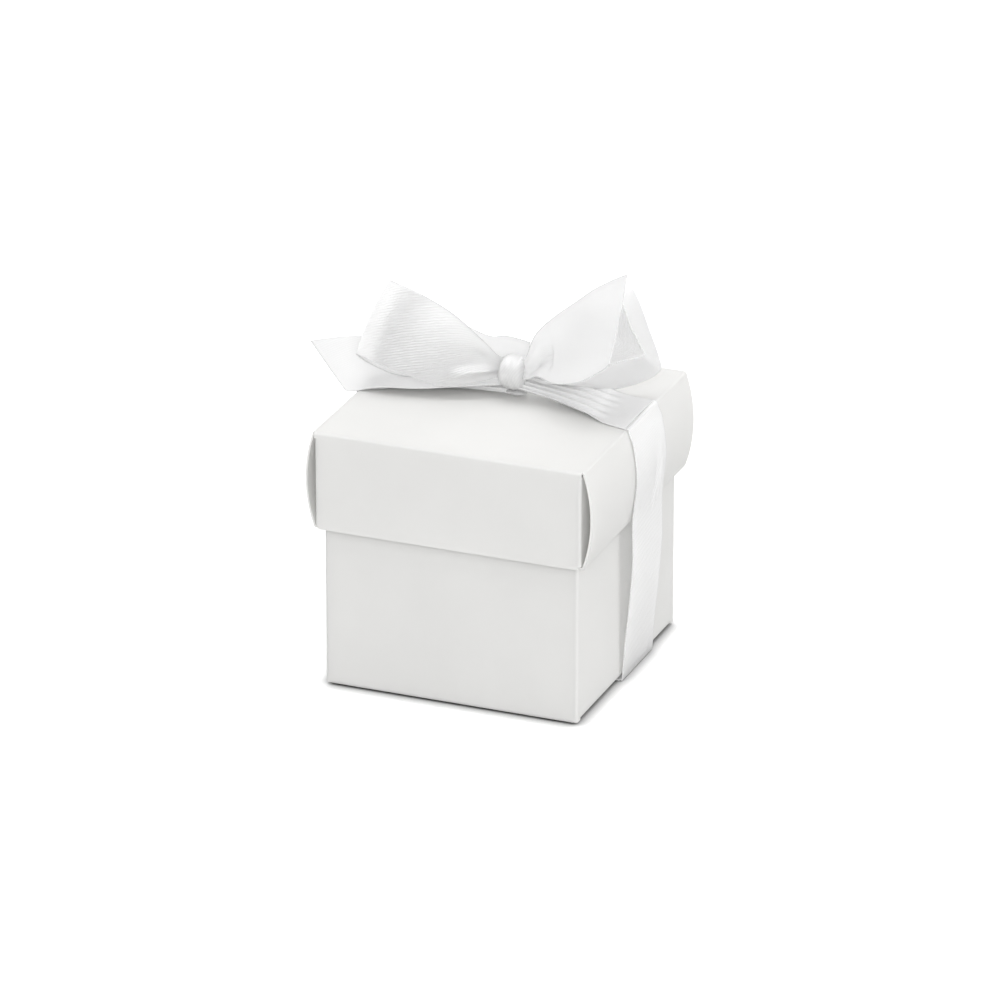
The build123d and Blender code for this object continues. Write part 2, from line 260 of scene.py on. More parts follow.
def close_finish(tree, constants, varying, sheer=None, glow=(1, 1, 1)):
    """Ends a material in one Principled shader: constants on its own sockets, what varies linked.

    A sheer one lets that share of the light through, in the glow's colour.
    """
    shader = tree.add("ShaderNodeBsdfPrincipled", None, {**constants, **varying})
    if sheer is not None:
        through = tree.add(
            "ShaderNodeBsdfTranslucent", None, {"Color": (*glow, 1), "Normal": varying["Normal"]}
        )
        shader = tree.add("ShaderNodeMixShader", None, {0: sheer, 1: shader, 2: through})
    tree.add("ShaderNodeOutputMaterial", None, {"Surface": shader})


CARD_CLOUDS = 50  # size of the card's cloudy patches, in grains of its fibre
CARD_CLOUD_SHADE, CARD_FIBRE_SHADE = 0.7, 0.3  # what patches and fibres add to its shading
CARD_DARKEST = 0.965  # tone of its darkest places
CARD_ROUGH, FIBRE_ROUGH, CREASE_POLISH = 0.62, 0.16, 0.1  # plain, what fibres add and what a crease takes off
CREASE_RELIEF = 2.0  # height of the fibres on a crease, beside the plain card's


def card_finish(name, look, half, fold_low, fold_high):
    """Coated card with a faint fibre grain, and burnished creases along a box's edges."""
    material, tree = new_finish(name)
    place = tree.add("ShaderNodeTexCoord", None, None, "Object")
    axes = tree.add("ShaderNodeSeparateXYZ", None, {"Vector": place})
    x, y, z = axes.absolute(), axes.sibling("Y").absolute(), axes.sibling("Z")
    band, core = look.crease, look.crease / 2
    near_x, near_y = (axis.ramp(half - band, half - core) for axis in (x, y))
    near_z = z.ramp(fold_high - band, fold_high - core) + (1 - z.ramp(fold_low + core, fold_low + band))
    crease = near_x * near_y + near_y * near_z + near_x * near_z
    fibre = place.noise(1 / look.grain, 4.0, 0.6)
    cloud = place.noise(1 / (CARD_CLOUDS * look.grain), 3.0)
    shade = cloud.ramp(0.3, 0.7) * CARD_CLOUD_SHADE + fibre * CARD_FIBRE_SHADE
    rough = CARD_ROUGH + fibre * FIBRE_ROUGH - crease.math("MINIMUM", crease, 1.0) * CREASE_POLISH
    relief = fibre + crease * (fibre - 0.5) * CREASE_RELIEF
    close_finish(
        tree,
        {"Specular IOR Level": 0.4},
        {
            "Base Color": shade.colour(toned(look.colour, CARD_DARKEST), look.colour),
            "Roughness": rough,
            "Normal": relief.bump(0.35, 0.03 * MM),
        },
        look.sheer,
        look.colour,
    )
    return material


# How finely the twill lines wander, the tone changes and the floats lie, by the ribbon's width.
WANDER_SCALE, PATCH_SCALE, FLOAT_SCALE = 9.0, 2.2, (260.0, 14.0, 1.0)
TWILL_ACROSS, TWILL_ALONG, TWILL_WANDER = 0.86, 0.5, 5.0  # slant of the twill lines, and how far they wander
PLEAT_LINES_AND_SHADE, PLEAT_SHEER = 0.6, 0.5  # what a pleat adds to the lines, which also darkens its colour as painted shade, and takes off the light that comes through
PLAIN_TONE, PATCH_TONE, LINE_TONE = 0.75, 0.3, 0.5  # the tone, and what patches and lines change in it
LINE_ROUGH, FLOAT_ROUGH = 0.04, 0.08  # what lines and floats add to the roughness
FLOAT_RELIEF = 2.2  # height of the floats, beside the lines
WEAVE_DARKEST, WEAVE_GLOW = 0.88, 1.04  # tones of its darkest places, and of the light that comes through


def weave_finish(name, look, colour, shine, rough, line_depth, sheer=None):
    """Woven ribbon: slanted twill lines, fine lengthwise floats and a soft shine, laid out on the sheet's own map.

    Along its pleats the lines show more, its colour is darker as painted shade, and less light comes through.
    """
    _, tree = new_finish(name)
    place = tree.add("ShaderNodeUVMap", {"uv_map": "UVMap"})
    # the pleat mask: more twill and less light through, and a darker colour as painted shade
    pull = tree.add("ShaderNodeAttribute", {"attribute_name": "pull"}, None, "Fac")
    weave = line_depth + pull * PLEAT_LINES_AND_SHADE
    axes = tree.add("ShaderNodeSeparateXYZ", None, {"Vector": place})
    across, along = axes * look.width, axes.sibling("Y") * look.width
    turn = 2 * math.pi / look.twill
    wander = place.noise(WANDER_SCALE) * TWILL_WANDER
    lines = (across * (TWILL_ACROSS * turn) + along * (TWILL_ALONG * turn) + wander).sine()
    floats = tree.add("ShaderNodeMapping", None, {"Vector": place, "Scale": FLOAT_SCALE}).noise(1.0)
    tone = PLAIN_TONE + place.noise(PATCH_SCALE) * PATCH_TONE + (lines - 1) * weave * LINE_TONE
    relief = (lines + floats * FLOAT_RELIEF) * weave
    close_finish(
        tree,
        {"Metallic": shine, "Specular IOR Level": 0.5},
        {
            "Base Color": tone.colour(toned(colour, WEAVE_DARKEST), colour),
            "Roughness": rough + lines * LINE_ROUGH + floats * FLOAT_ROUGH,
            "Normal": relief.bump(0.6, 0.04 * MM),
        },
        None if sheer is None else sheer * (1 - pull * PLEAT_SHEER),
        toned(colour, WEAVE_GLOW),
    )


SELVAGE_THREADS = 2600.0  # in a metre
SELVAGE_THREAD_AND_SHADE_TONES = (0.66, 0.88)  # beside the satin's: darker as painted shade along the edge, and varied from thread to thread


def selvage_finish(look):
    """The ribbon's woven edge: dull thread, varied from thread to thread, and darker than the satin as painted edge
    shade.
    """
    _, tree = new_finish("ribbon selvage")
    thread = tree.add("ShaderNodeTexCoord", None, None, "Object").noise(SELVAGE_THREADS)
    tone = thread.colour(*(toned(look.satin, share) for share in SELVAGE_THREAD_AND_SHADE_TONES))
    close_finish(tree, {"Specular IOR Level": 0.5}, {"Base Color": tone, "Roughness": 0.4 + thread * 0.2})


LAID_SHADE_TONE, WOUND_SHADE_TONE = 0.84, 0.76  # beside the satin's: its colour darkened as painted shade, where the ribbon lies on card and where it is wound in the knot


def ribbon_finishes(look):
    """The ribbon's finishes by name: its two faces, its edge, and its face where it lies on card or is wound.

    The last two are copies of the satin darkened as painted shade, and no light comes through them.
    """
    names = ("satin", "back", "selvage", "laid", "wound")
    if f"ribbon {names[0]}" not in bpy.data.materials:
        # painted shade: the laid and wound faces take the satin's colour, darkened
        laid, wound = toned(look.satin, LAID_SHADE_TONE), toned(look.satin, WOUND_SHADE_TONE)
        weave_finish("ribbon satin", look, look.satin, shine=0.82, rough=0.3, line_depth=0.6, sheer=look.sheer)
        weave_finish("ribbon back", look, look.back, shine=0.0, rough=0.6, line_depth=0.06, sheer=look.back_sheer)
        selvage_finish(look)
        weave_finish("ribbon laid", look, laid, shine=0.0, rough=0.6, line_depth=0.35)
        weave_finish("ribbon wound", look, wound, shine=0.2, rough=0.4, line_depth=0.45)
    return {name: bpy.data.materials[f"ribbon {name}"] for name in names}


def eased(rows, steps):
    """Rows on a smooth curve through the given ones, with steps of them from each to the next."""
    rows = np.asarray(rows, float)
    ends = np.concatenate((rows[:1], rows, rows[-1:]))
    t = (np.arange(steps) / steps)[:, None]
    curve = []
    for a, b, c, d in zip(ends, ends[1:], ends[2:], ends[3:]):
        curve.append(
            a * (t * (t * (2 - t) - 1) / 2)
            + b * (t * t * (3 * t - 5) / 2 + 1)
            + c * (t * (t * (4 - 3 * t) + 1) / 2)
            + d * (t * t * (t - 1) / 2)
        )
    return np.concatenate((*curve, rows[-1:]))


def unit(vectors):
    """The same ways, with a length of one."""
    return vectors / np.linalg.norm(vectors, axis=-1, keepdims=True)


def smooth(t):
    """0 up to 0, 1 from 1, and smooth between."""
    t = np.clip(t, 0, 1)
    return t * t * (3 - 2 * t)


FOLDS_BEGIN, FOLDS_FULL = 0.85, 0.5  # the share of its width at which a ribbon starts to fold, and folds fully


def ribbon_grid(stations, pleats, full, gather, folds, steps, columns):
    """Points of a ribbon's middle surface, how far along it each row lies, and how deep in a pleat each point lies.

    A station is the middle, the lay of the width, the width and the hollow. A pleat is where it starts and ends
    along the ribbon, where it starts and ends across it, its depth, its half width and how bluntly it ends. Where
    the ribbon is drawn in, a share of what its full width has to spare goes into folds side by side.
    """
    rows = eased([[*middle, *lay, width, hollow] for middle, lay, width, hollow in stations], steps)
    middle, lay, width, hollow = rows[:, :3], unit(rows[:, 3:6]), rows[:, 6], rows[:, 7]
    tangent = unit(np.gradient(middle, axis=0))
    face = unit(np.cross(tangent, lay))
    walked = np.concatenate(([0], np.cumsum(np.linalg.norm(np.diff(middle, axis=0), axis=1))))
    across = np.linspace(-1, 1, columns)
    rise = hollow[:, None] * (1 - across**2)
    drawn_in = smooth((FOLDS_BEGIN * full - width) / ((FOLDS_BEGIN - FOLDS_FULL) * full))
    spare = np.sqrt(np.clip(full / width - 1, 0, None)) * drawn_in
    tall = gather * width / (np.pi * folds) * spare
    rise = rise + tall[:, None] * (1 + np.sin(np.pi * folds * across + folds))
    # how deep in a pleat each point lies; the finish darkens the colour there as painted shade
    pull = np.zeros_like(rise)
    for first, last, start, stop, depth, spread, blunt in pleats:
        share = np.clip((walked - first) / (last - first), 0, 1)
        centre = start + (stop - start) * share
        inside = smooth((walked - first) / blunt) * smooth((last - walked) / blunt)
        ridge = inside[:, None] * np.exp(-(((across - centre[:, None]) / spread) ** 2))
        rise = rise + depth * ridge
        pull = np.maximum(pull, ridge)
    points = (
        middle[:, None]
        + lay[:, None] * (across * width[:, None] / 2)[..., None]
        + face[:, None] * rise[..., None]
    )
    return points, walked, pull


def grid_normals(points):
    """The surface's normal at each point of a grid."""
    along = np.gradient(points, axis=0)
    over = np.gradient(points, axis=1)
    return unit(np.cross(along, over))


EDGE_SLOT = 2  # the sheet's material slots: satin, back and then its edge


def ribbon_mesh(name, points, walked, pull, thickness, width, satin_first):
    """A closed sheet of that thickness on a grid of points, with the ribbon's own map and a finish on each face."""
    count, columns = points.shape[:2]
    offset = grid_normals(points) * (thickness / 2)
    first, second = points + offset, points - offset
    vertices = np.concatenate((first.reshape(-1, 3), second.reshape(-1, 3)))
    index = np.arange(count * columns).reshape(count, columns)
    quads = np.stack((index[:-1, :-1], index[1:, :-1], index[1:, 1:], index[:-1, 1:]), -1).reshape(-1, 4)
    rim = np.concatenate((index[0, :-1], index[:-1, -1], index[-1, :0:-1], index[:0:-1, 0]))
    rim_next = np.roll(rim, -1)
    lift = count * columns
    edge = np.stack((rim, rim_next, rim_next + lift, rim + lift), -1)
    faces = np.concatenate((quads, quads[:, ::-1] + lift, edge))
    mesh = bpy.data.meshes.new(name)
    mesh.from_pydata((vertices * MM).tolist(), [], faces.tolist())
    shiny, dull = (0, 1) if satin_first else (1, 0)
    slots = np.repeat((shiny, dull, EDGE_SLOT), (len(quads), len(quads), len(edge)))
    mesh.polygons.foreach_set("material_index", slots.astype(np.int32))
    mesh.polygons.foreach_set("use_smooth", slots < EDGE_SLOT)
    u = np.broadcast_to(np.linspace(0, 1, columns), (count, columns)).ravel()
    v = np.broadcast_to((walked / width)[:, None], (count, columns)).ravel()
    map_points = np.stack((np.tile(u, 2), np.tile(v, 2)), -1)
    layer = mesh.uv_layers.new(name="UVMap")
    corners = np.zeros(len(mesh.loops), np.int32)
    mesh.loops.foreach_get("vertex_index", corners)
    layer.data.foreach_set("uv", map_points[corners].astype(np.float32).ravel())
    # the pleat mask, which the finish reads to paint shade in the pleats
    pleat_layer = mesh.attributes.new("pull", "FLOAT", "POINT")
    pleat_layer.data.foreach_set("value", np.tile(pull.ravel(), 2).astype(np.float32))
    mesh.update()
    mesh.validate()
    return mesh


def add_piece(name, mesh, materials):
    """A mesh with those materials, as an object in the scene."""
    for material in materials:
        mesh.materials.append(material)
    piece = bpy.data.objects.new(name, mesh)
    bpy.context.scene.collection.objects.link(piece)
    return piece


def edge_curve(name, points):
    """A mesh line along the ribbon's two edges, for the selvage tree."""
    lines = [points[:, 0], points[:, -1]]
    count = len(points)
    pairs = [(i + k * count, i + 1 + k * count) for k in range(2) for i in range(count - 1)]
    mesh = bpy.data.meshes.new(name)
    mesh.from_pydata((np.concatenate(lines) * MM).tolist(), pairs, [])
    return mesh


SELVAGE_PITCH = 3.6  # from bead to bead, in radii of the woven edge
BEAD_RADIUS, BEAD_STRETCH = 1.35, (1.5, 1.0, 1.0)  # a bead's radius in those radii, and its shape along the edge


def new_tree(name, sizes):
    """An empty Geometry Nodes tree with those inputs, and the socket that starts it."""
    group = bpy.data.node_groups.new(name, "GeometryNodeTree")
    geometry = ("Geometry", "NodeSocketGeometry")
    for label, kind in (geometry, *sizes):
        group.interface.new_socket(label, in_out="INPUT", socket_type=kind)
    group.interface.new_socket(geometry[0], in_out="OUTPUT", socket_type=geometry[1])
    return group, Socket(group)


def close_tree(tree, geometry, material):
    """Ends a tree in real faces of one material."""
    real = tree.add("GeometryNodeRealizeInstances", None, {"Geometry": geometry})
    done = tree.add("GeometryNodeSetMaterial", None, {"Geometry": real, "Material": material})
    tree.add("NodeGroupOutput", None, {"Geometry": done})


def selvage_tree(material):
    """Woven edge: a thin core with a bead at each turn of the weft, along every line of the mesh."""
    sizes = (("Radius", "NodeSocketFloat"), ("Pitch", "NodeSocketFloat"))
    group, tree = new_tree("Ribbon Selvage", sizes)
    given = tree.add("NodeGroupInput")
    radius, pitch = given.sibling("Radius"), given.sibling("Pitch")
    line = tree.add("GeometryNodeMeshToCurve", None, {"Mesh": given})
    ring = tree.add("GeometryNodeCurvePrimitiveCircle", None, {"Resolution": 5, "Radius": radius})
    core = tree.add("GeometryNodeCurveToMesh", None, {"Curve": line, "Profile Curve": ring, "Fill Caps": True})
    spaced = tree.add("GeometryNodeResampleCurve", {"mode": "LENGTH"}, {"Curve": line, "Length": pitch})
    bead = tree.add(
        "GeometryNodeMeshUVSphere", None, {"Segments": 6, "Rings": 4, "Radius": radius * BEAD_RADIUS}
    )
    heading = tree.add("GeometryNodeInputTangent")
    turned = tree.add("FunctionNodeAlignRotationToVector", {"axis": "X"}, {"Vector": heading})
    beads = tree.add(
        "GeometryNodeInstanceOnPoints",
        None,
        {"Points": spaced, "Instance": bead, "Rotation": turned, "Scale": BEAD_STRETCH},
    )
    joined = tree.add("GeometryNodeJoinGeometry", None, {"Geometry": core})
    group.links.new(beads.output, joined.output.node.inputs["Geometry"])
    close_tree(tree, joined, material)
    return group


def grown(name, mesh, group, values):
    """The plain mesh that a Geometry Nodes tree makes of a mesh, on an object of its own."""
    seed = bpy.data.objects.new(name, mesh)
    bpy.context.scene.collection.objects.link(seed)
    modifier = seed.modifiers.new("Grow", "NODES")
    modifier.node_group = group
    for item in group.interface.items_tree:
        if item.in_out == "INPUT" and item.name in values:
            modifier[item.identifier] = values[item.name]
    evaluated = seed.evaluated_get(bpy.context.evaluated_depsgraph_get())
    made = bpy.data.meshes.new_from_object(evaluated)
    seed.modifiers.remove(modifier)
    seed.data = made
    made.name = name
    bpy.data.meshes.remove(mesh)
    if not made.polygons:
        raise RuntimeError(f"{name}: the tree made no faces")
    return seed


def from_knot(side, stations, width):
    """Stations measured from the knot's end face, out, back and up, as places in the part's frame."""
    placed = []
    for (out, back, up), lay, share, hollow in stations:
        middle = KNOT_MIDDLE + (side * (KNOT_HALF + out), back, up)
        placed.append((middle, (side * lay[0], lay[1], lay[2]), share * width, hollow))
    return placed


GATHER = 0.26  # share of the ribbon's width that is left in the knot
# A station of the bow: its place from the knot's end face, out, back and up, the lay of its width, its share of the
# ribbon's width, and its hollow.
LEFT_LOOP = [
    ((-0.8, -1.0, 0.6), (0.1, 0.2, 1.0), GATHER, 0.2),
    ((0.3, -1.2, 0.8), (0.1, 0.2, 1.0), GATHER, 0.2),
    ((2.9, -2.8, 2.0), (0.0, 0.2, 1.0), 0.5, 0.4),
    ((8.5, -4.6, 3.8), (-0.1, 0.3, 0.9), 0.85, 0.5),
    ((14.7, -6.0, 6.5), (-0.2, 0.3, 0.9), 0.96, 0.2),
    ((20.0, -5.8, 7.9), (-0.2, 0.4, 0.9), 0.97, -0.2),
    ((23.4, -3.6, 7.7), (-0.3, 0.4, 0.9), 0.97, -0.6),
    ((22.0, -1.2, 5.4), (-0.3, 0.3, 0.9), 1.0, -0.2),
    ((16.8, -0.8, 3.8), (-0.2, 0.3, 0.9), 0.98, 0.2),
    ((10.0, -0.2, 2.6), (-0.1, 0.3, 0.9), 0.68, 0.3),
    ((3.5, 1.4, 1.9), (0.0, 0.2, 1.0), 0.42, 0.3),
    ((0.6, 2.6, 2.2), (0.0, 0.1, 1.0), 0.38, 0.1),
    ((-1.8, 3.5, 1.8), (0.0, 0.1, 1.0), 0.36, 0.0),
    ((-3.9, 3.5, 1.6), (0.0, 0.1, 1.0), 0.34, 0.0),
]
RIGHT_LOOP = [
    ((-0.8, 0.6, -1.0), (0.0, 1.0, -0.3), GATHER, 0.2),
    ((0.3, 0.8, -1.4), (0.0, 1.0, -0.3), GATHER, 0.2),
    ((6.3, -1.2, -1.0), (-0.2, 0.8, -0.5), 0.55, 0.3),
    ((12.9, -0.6, 0.2), (-0.2, 0.8, -0.6), 0.9, 0.3),
    ((18.8, 0.8, 2.4), (-0.1, 0.8, -0.6), 1.0, 0.2),
    ((22.3, 3.4, 3.7), (-0.1, 0.8, -0.5), 1.0, 0.2),
    ((21.7, 4.0, 5.9), (-0.1, 0.9, -0.5), 1.0, 0.2),
    ((19.7, 4.5, 9.7), (-0.1, 0.9, -0.4), 0.96, 0.2),
    ((17.8, 4.8, 14.0), (-0.1, 0.9, -0.35), 0.92, 0.2),
    ((15.2, 5.8, 15.3), (0.0, 0.95, -0.25), 0.9, 0.2),
    ((13.9, 6.8, 11.6), (0.4, 0.8, -0.46), 0.88, 0.2),
    ((15.0, 7.0, 4.8), (0.6, 0.55, -0.57), 0.85, 0.2),
    ((9.6, 5.5, 1.2), (0.5, 0.55, -0.6), 0.66, 0.3),
    ((4.0, 3.4, 1.8), (0.1, 0.8, 0.3), 0.4, 0.3),
    ((0.3, 2.2, 2.0), (0.0, 0.5, 0.8), 0.36, 0.2),
    ((-0.8, 1.8, 1.8), (0.0, 0.5, 0.8), 0.3, 0.2),
]
LEFT_TAIL = [
    ((-0.8, 0.2, -1.8), (0.0, 1.0, 0.1), GATHER, 0.2),
    ((0.3, 0.2, -2.3), (0.0, 1.0, 0.1), GATHER, 0.2),
    ((7.3, 0.5, -2.1), (0.2, 1.0, 0.2), 0.6, 0.3),
    ((14.0, 0.5, -2.3), (0.1, 1.0, 0.2), 0.9, 0.3),
    ((21.1, -0.1, -2.5), (0.1, 1.0, 0.2), 1.0, 0.3),
    ((25.8, -0.5, -2.7), (0.2, 0.9, 0.3), 1.0, 0.3),
    ((33.1, -2.0, -3.7), (0.7, 0.7, 0.2), 1.12, 0.2),
]
RIGHT_TAIL = [
    ((-0.6, -1.2, 1.0), (-0.3, 0.4, 0.8), GATHER, -0.2),
    ((0.6, -1.4, 1.4), (-0.3, 0.4, 0.8), GATHER, -0.2),
    ((2.8, -2.6, 4.6), (-0.2, 0.4, 0.9), 0.5, -1.0),
    ((6.9, -4.4, 6.9), (-0.2, 0.5, 0.9), 0.8, -1.8),
    ((12.0, -5.8, 9.9), (-0.2, 0.5, 0.9), 0.98, -1.4),
    ((15.8, -6.0, 12.7), (-0.2, 0.4, 0.9), 0.99, -0.9),
    ((19.5, -5.9, 15.2), (0.05, 0.4, 0.9), 1.08, -0.4),
]
# A pleat, as ribbon_grid() takes it.
LEFT_LOOP_PLEATS = [(0, 11.0, -0.35, -0.75, -0.8, 0.2, 4.0), (0, 9.0, 0.35, 0.2, 0.4, 0.3, 5.0)]
RIGHT_LOOP_PLEATS = [(0, 10.0, 0.3, 0.5, 0.5, 0.25, 5.0), (0, 10.0, -0.4, -0.5, -0.5, 0.25, 5.0)]
LEFT_TAIL_PLEATS = [(0, 14.0, 0.4, 0.5, 0.5, 0.25, 6.0), (0, 12.0, -0.4, -0.6, 0.4, 0.25, 6.0)]
RIGHT_TAIL_PLEATS = [(0.8, 8.6, -0.1, -0.2, -1.6, 0.45, 1.5)]
# A piece of the bow: its name, its side, its stations and pleats, whether its first face is the satin one, the share
# of its spare width that is in folds, and whether it lies on the lid.
BOW = (
    ("left_loop", -1, LEFT_LOOP, LEFT_LOOP_PLEATS, False, 0.04, False),
    ("right_loop", 1, RIGHT_LOOP, RIGHT_LOOP_PLEATS, True, 0.3, False),
    ("left_tail", -1, LEFT_TAIL, LEFT_TAIL_PLEATS, False, 0.2, True),
    ("right_tail", 1, RIGHT_TAIL, RIGHT_TAIL_PLEATS, False, 0.1, False),
)
BOW_FOLDS = 3
# A station over the lid: its reach from the knot to the lid's edge, its climb to the knot, its share of the width,
# and how far it is shifted back and tilted.
TOP_LEFT_RUN = [
    (1.0, 0.0, 1.0, 0.0, 0.0),
    (0.8, 0.05, 0.76, 0.4, 0.0),
    (0.58, 0.16, 0.5, 0.8, 0.0),
    (0.28, 0.55, 0.32, 0.8, 0.0),
    (-0.06, 1.0, 0.28, 0.4, 0.0),
]
TOP_RIGHT_RUN = [
    (1.0, 0.0, 1.0, 0.0, 0.0),
    (0.8, 0.05, 0.84, 0.0, 0.06),
    (0.58, 0.16, 0.6, 0.0, 0.2),
    (0.28, 0.55, 0.38, 0.0, 0.4),
    (-0.06, 1.0, 0.28, 0.0, 0.5),
]
# A side of the box, its sign, and the climb and stations of the ribbon over the lid there.
SIDES = (("left", -1, 1.06, TOP_LEFT_RUN), ("right", 1, 2.12, TOP_RIGHT_RUN))
TOP_FOLDS = 5
TOP_HEIGHT = 0.18  # of the ribbon's middle over the lid
TOP_HOLLOW = 0.2
TILT_LIFT = 0.4  # share of a tilted width by which its middle is lifted
# The ribbon up a side: how far out and how high it is, from under the base's edge to the lid's top.
STRAP_PATH = [
    (24.15, 0.16),
    (24.65, 0.35),
    (24.83, 0.9),
    (25.4, 8.0),
    (26.26, 16.0),
    (26.87, 23.9),
    (26.88, 31.7),
    (27.64, 38.4),
    (27.66, 41.8),
    (27.05, 46.6),
    (26.18, 49.05),
    (26.01, 49.61),
    (25.45, 49.78),
]
# A pleat of it: where it starts and ends along the ribbon and across it, its depth, and its half width and bluntness.
STRAP_PLEATS = [(30.0, 44.0, 0.35, 0.5, 0.3, (0.12, 6.0)), (32.0, 42.0, 0.7, 0.6, 0.25, (0.1, 5.0))]
STRAP_FOOT, STRAP_HEAD = 4.2, 2.8  # how far behind the box's middle it lies under the base and at the lid's top
STRAP_NARROWING = 0.04  # share of its width that it loses on its way up
STRAP_HOLLOW = 0.03
STRAP_STRETCH = ((0, 0, 2 * MM), (0, 0, 31 * MM))  # where it starts and ends to stretch as the lid is lifted
UNDER_REACH, UNDER_HEIGHT = 24.05, 0.15  # half the length of the ribbon under the base, and its middle's height


def strap_stations(side, width):
    """The ribbon up one side, from the table round the base's edge and over the lid's edge."""
    stations = []
    for x, z in STRAP_PATH:
        up = z / STRAP_PATH[-1][1]
        y = STRAP_FOOT + (STRAP_HEAD - STRAP_FOOT) * up
        stations.append(((side * x, y, z), (0, 1, 0), width * (1 - STRAP_NARROWING * up), -side * STRAP_HOLLOW))
    return stations


def top_strap_stations(side, rise, run, width):
    """The ribbon from the lid's edge to the knot, drawn together as it climbs."""
    inner, outer = side * KNOT_MIDDLE[0] + KNOT_HALF, STRAP_PATH[-1][0]
    stations = []
    for reach, climb, share, back, tilt in run:
        x = inner + reach * (outer - inner)
        y = KNOT_MIDDLE[1] + reach * (STRAP_HEAD - KNOT_MIDDLE[1]) + back
        z = LID_TOP + TOP_HEIGHT + climb * rise + tilt * share * TILT_LIFT * width
        drawn = share * (1 - STRAP_NARROWING) * width
        stations.append(((side * x, y, z), (0, 1, tilt), drawn, -side * TOP_HOLLOW))
    return stations


FOLD = 0.55 * MM  # from the edge of the lid's top panel to the outer face of its walls
BASE_FOLD = 0.3 * MM  # height of the base's lower crease
NO_FOLD = 1.0  # a height far from the box


class FAVORBOX_OT_card(bpy.types.Operator):
    """Give the lid's and base's card panels their finish"""

    bl_idname = "favorbox.card"
    bl_label = "Card Finish"

    def execute(self, context):
        look = context.scene.favorbox_card
        finishes = {
            "lid_": card_finish("lid card", look, LID_HIGH.x + FOLD, -NO_FOLD, LID_HIGH.z),
            "base_": card_finish("base card", look, -BASE_LOW.x, BASE_FOLD, NO_FOLD),
        }
        for name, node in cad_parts.items():
            for prefix, material in finishes.items():
                if name.startswith(prefix):
                    node.data.materials.clear()
                    node.data.materials.append(material)
        return {"FINISHED"}


ROWS, COLUMNS = 14, 65  # points of a sheet from station to station, and across it


def lay_ribbon(
    name, node, look, stations, *, body, pleats=(), satin_first=False, gather=0.0, folds=1, laid=False
):
    """One stretch of ribbon with its selvage, in the place of its solid. A laid one lets no light through, and its
    face has the satin's colour darkened as painted shade.
    """
    finishes = ribbon_finishes(look)
    width = look.width / MM
    points, walked, pull = ribbon_grid(stations, pleats, width, gather, folds, ROWS, COLUMNS)
    mesh = ribbon_mesh(name, points, walked, pull, look.thickness / MM, width, satin_first)
    faces = ("laid" if laid else "satin", "back", "selvage")
    sheet = add_piece(name, mesh, [finishes[face] for face in faces])
    group = bpy.data.node_groups.get("Ribbon Selvage") or selvage_tree(finishes["selvage"])
    values = {"Radius": look.selvage, "Pitch": look.selvage * SELVAGE_PITCH}
    edges = grown(f"{name}_selvage", edge_curve(f"{name}_edges", points), group, values)
    for piece in (sheet, edges):
        if isinstance(body, str):
            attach(piece, body)
        else:
            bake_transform(piece)
    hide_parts(node)


class FAVORBOX_OT_bow(bpy.types.Operator):
    """Make the bow's two loops and two tails"""

    bl_idname = "favorbox.bow"
    bl_label = "Bow"

    def execute(self, context):
        look = context.scene.favorbox_ribbon
        for name, side, stations, pleats, satin_first, gather, laid in BOW:
            lay_ribbon(
                f"bow_{name}",
                f"ribbon_{name}",
                look,
                from_knot(side, stations, look.width / MM),
                body="lid",
                pleats=pleats,
                satin_first=satin_first,
                gather=gather,
                folds=BOW_FOLDS,
                laid=laid,
            )
        return {"FINISHED"}


class FAVORBOX_OT_straps(bpy.types.Operator):
    """Make the ribbon round the box: over the lid, down the sides and under the base"""

    bl_idname = "favorbox.straps"
    bl_label = "Straps"

    def execute(self, context):
        look = context.scene.favorbox_ribbon
        width = look.width / MM
        for name, side, rise, run in SIDES:
            lay_ribbon(
                f"{name}_strap",
                f"ribbon_{name}_strap",
                look,
                strap_stations(side, width),
                body=("base", "lid", *STRAP_STRETCH),
                pleats=[(*where, -side * depth, *shape) for *where, depth, shape in STRAP_PLEATS],
                satin_first=side < 0,
            )
            lay_ribbon(
                f"top_{name}_strap",
                f"ribbon_top_{name}_strap",
                look,
                top_strap_stations(side, rise, run, width),
                body="lid",
                satin_first=side < 0,
                gather=-side,
                folds=TOP_FOLDS,
                laid=True,
            )
        lay_ribbon(
            "under_strap",
            "ribbon_under_strap",
            look,
            [((x, STRAP_FOOT, UNDER_HEIGHT), (0, 1, 0), width, 0.0) for x in (-UNDER_REACH, 0.0, UNDER_REACH)],
            body="base",
            laid=True,
        )
        return {"FINISHED"}


# A knot's name, its share of its solid along, across and up, and its shift in height, in millimetres.
KNOTS = (("knot", (1.0, 0.95, 0.88), -0.35), ("half_knot", (0.9, 0.7, 0.8), 0.0))
KNOT_MAP = (0.36, 1.3, 1.0)  # the part of the ribbon's map that is wound round it
KNOT_ENDS, KNOT_ROUNDING = 5.0, 0.36  # how late it narrows towards its ends, and how roundly
FOLD_TURNS, FOLD_SWAY = 2.0, 0.8  # how often a fold goes along it in a turn, and how unevenly
FINE_FOLDS, FINE_TURNS, FINE_DEPTH = 2.7, 3.0, 0.4  # count, turns and depth of the finer folds


